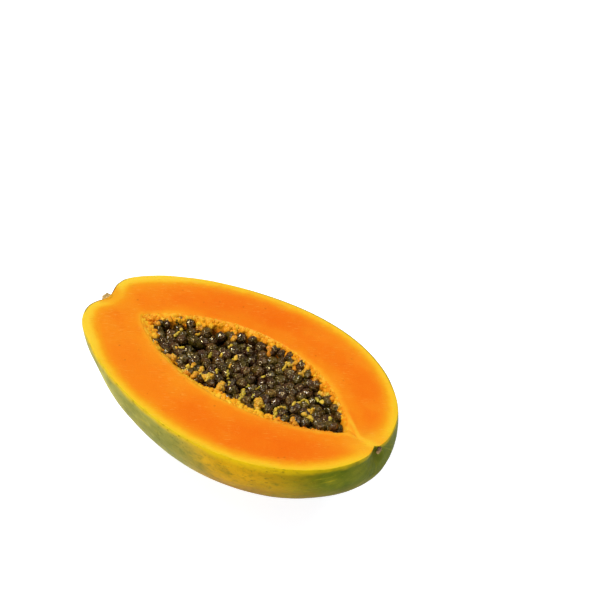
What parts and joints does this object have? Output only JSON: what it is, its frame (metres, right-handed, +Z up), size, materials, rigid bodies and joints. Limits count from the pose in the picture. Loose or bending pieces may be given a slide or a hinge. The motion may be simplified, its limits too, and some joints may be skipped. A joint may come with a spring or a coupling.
{
  "type": "halved papaya",
  "caption": "Ripe papaya half, cut lengthwise through the seed cavity, lying on its rounded back with the cut face up and the seeds in place.",
  "frame": {"origin": "on the surface that the half lies on, under the middle of its bounding box", "axes": "+X runs along the fruit from the stem end to the blossom end, +Z up out of the cut face"},
  "size_m": [0.1952, 0.1192, 0.054],
  "materials": {
    "fruit": "moist deep orange flesh with a yellow band at the rim, in a waxy green and yellow peel",
    "placenta": "moist pale orange and yellow fibres that line the seed cavity",
    "seeds": "wet, glossy, wrinkled near-black seed coats",
    "stem_cork": "dry, matt, corky tan stump"
  },
  "bodies": {
    "root": {"fruit_half": "fruit", "seed_mass": "seeds", "stem_stub": "stem_cork"}
  },
  "joints": []
}
